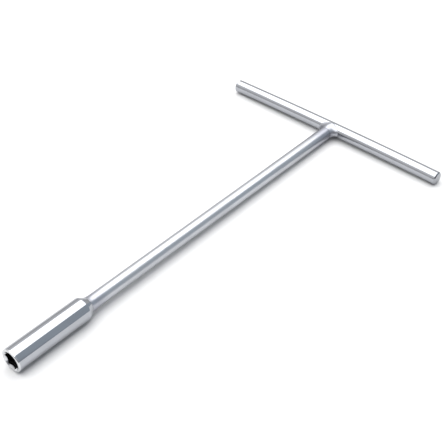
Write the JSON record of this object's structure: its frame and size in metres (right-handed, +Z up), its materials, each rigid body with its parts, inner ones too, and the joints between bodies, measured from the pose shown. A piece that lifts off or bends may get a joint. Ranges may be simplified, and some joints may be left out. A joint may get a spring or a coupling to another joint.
{
  "type": "socket wrench",
  "caption": "T-handle socket wrench: a deep hexagon socket on a long round shank, turned by a round cross bar welded to the shank's other end.",
  "frame": {"origin": "under the middle of the tool's length as it lies flat, level with the underside of the socket", "axes": "+Y along the shank from the socket's mouth to the cross bar, +X along the bar, +Z up"},
  "size_m": [0.1762, 0.3, 0.015],
  "materials": {
    "bar_chrome": "bright chrome plate",
    "shank_chrome": "bright chrome plate with faint polishing lines",
    "socket_chrome": "bright chrome plate, darker in the hexagon",
    "weld_chrome": "ground and plated weld, slightly duller"
  },
  "bodies": {
    "root": {"handle_bar": "bar_chrome", "shank": "shank_chrome", "socket": "socket_chrome", "socket_weld": "weld_chrome", "tee_weld": "weld_chrome"}
  },
  "joints": []
}
